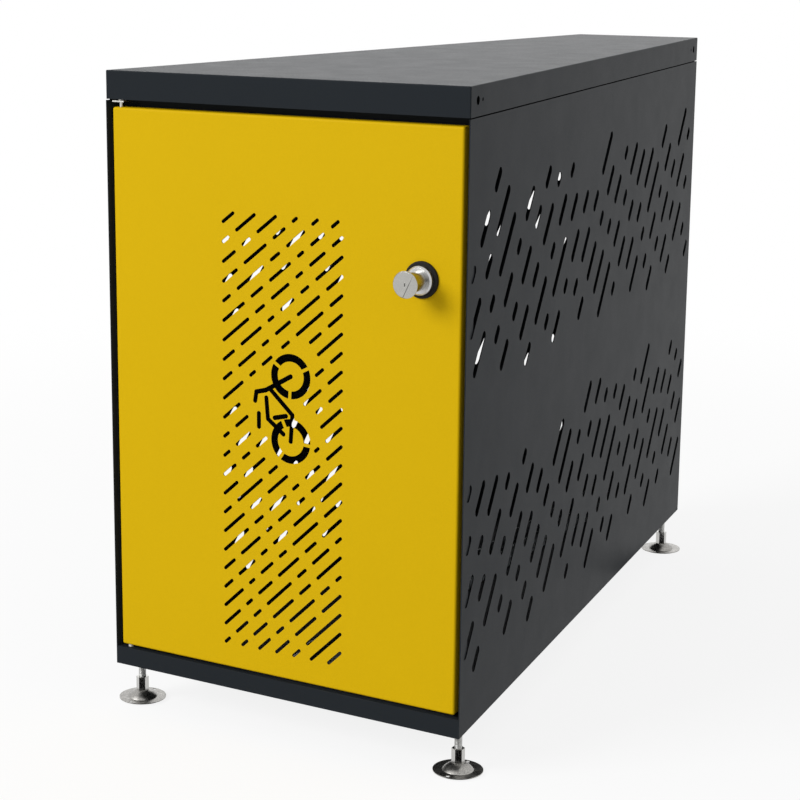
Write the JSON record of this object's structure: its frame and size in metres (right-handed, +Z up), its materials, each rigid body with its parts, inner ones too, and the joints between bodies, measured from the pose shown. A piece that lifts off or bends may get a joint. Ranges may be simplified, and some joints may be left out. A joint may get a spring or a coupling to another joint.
{
  "type": "bicycle locker",
  "caption": "Wedge-shaped sheet-steel locker for a bicycle, with slotted sides, a hinged slotted door with a turning lock, and levelling feet.",
  "frame": {"origin": "on the floor, under the middle of the whole locker's box, lock knob included", "axes": "+X to the right seen from the door, +Y from the door to the narrow rear, +Z up"},
  "size_m": [0.896, 1.887, 1.395],
  "materials": {
    "dark_paint": "fine-textured powder coat",
    "yellow_paint": "satin powder coat",
    "stainless": "polished stainless",
    "satin_steel": "satin",
    "zinc_steel": "zinc plated",
    "galvanised": "galvanised",
    "bright_chrome": "polished",
    "brass_bush": "turned",
    "black_rubber": "matt"
  },
  "bodies": {
    "cabinet": {"roof_cap": "dark_paint", "roof_plugs": "black_rubber", "roof_rivets": "dark_paint", "side_panel_right": "dark_paint", "side_panel_left": "dark_paint", "rear_panel": "dark_paint", "floor_tray": "dark_paint", "front_sill": "dark_paint", "hinge_jamb": "dark_paint", "lock_jamb": "dark_paint", "rear_post_right": "dark_paint", "rear_post_left": "dark_paint", "header_rail": "dark_paint", "hinge_bracket": "zinc_steel", "hinge_bracket_screws": "zinc_steel", "hinge_pin_top": "zinc_steel", "hinge_pin_bottom": "zinc_steel", "hinge_spacer": "zinc_steel", "strike_plate": "zinc_steel", "strike_screws": "zinc_steel", "door_buffers": "black_rubber", "wheel_guide": "galvanised", "guide_bolts": "zinc_steel", "foot_plates_front": "dark_paint", "foot_plates_rear": "dark_paint", "foot_nuts": "zinc_steel"},
    "door": {"door_shell": "yellow_paint", "door_stiffener_left": "yellow_paint", "door_stiffener_right": "yellow_paint", "lock_gasket": "black_rubber", "lock_collar": "satin_steel", "lock_nut": "zinc_steel", "hinge_bushes": "brass_bush"},
    "knob": {"lock_knob": "bright_chrome", "lock_cam": "zinc_steel", "cam_screw": "zinc_steel"},
    "key_cylinder": {"key_plug": "satin_steel"},
    "foot_front_left": {"foot_disc_front_left": "stainless", "foot_pad_front_left": "black_rubber", "foot_sleeve_front_left": "stainless", "foot_stud_front_left": "stainless"},
    "foot_front_right": {"foot_disc_front_right": "stainless", "foot_pad_front_right": "black_rubber", "foot_sleeve_front_right": "stainless", "foot_stud_front_right": "stainless"},
    "foot_rear_left": {"foot_disc_rear_left": "stainless", "foot_pad_rear_left": "black_rubber", "foot_sleeve_rear_left": "stainless", "foot_stud_rear_left": "stainless"},
    "foot_rear_right": {"foot_disc_rear_right": "stainless", "foot_pad_rear_right": "black_rubber", "foot_sleeve_rear_right": "stainless", "foot_stud_rear_right": "stainless"}
  },
  "joints": [
    {"name": "door_hinge", "type": "hinge", "parent": "cabinet", "child": "door", "pos_m": [-0.3955, -0.8625, 0.733], "axis": [0, 0, -1], "range_deg": [0, 110]},
    {"name": "knob_turn", "type": "hinge", "parent": "door", "child": "knob", "pos_m": [0.325, -0.8735, 1.02], "axis": [0, -1, 0], "range_deg": [0, 90]},
    {"name": "key_turn", "type": "hinge", "parent": "knob", "child": "key_cylinder", "pos_m": [0.325, -0.9365, 1.02], "axis": [0, -1, 0], "range_deg": [0, 90]},
    {"name": "front_left_foot_height", "type": "slide", "parent": "cabinet", "child": "foot_front_left", "axis": [0, 0, 1], "range_m": [-0.01, 0.01]},
    {"name": "front_right_foot_height", "type": "slide", "parent": "cabinet", "child": "foot_front_right", "axis": [0, 0, 1], "range_m": [-0.01, 0.01]},
    {"name": "rear_left_foot_height", "type": "slide", "parent": "cabinet", "child": "foot_rear_left", "axis": [0, 0, 1], "range_m": [-0.01, 0.01]},
    {"name": "rear_right_foot_height", "type": "slide", "parent": "cabinet", "child": "foot_rear_right", "axis": [0, 0, 1], "range_m": [-0.01, 0.01]}
  ]
}
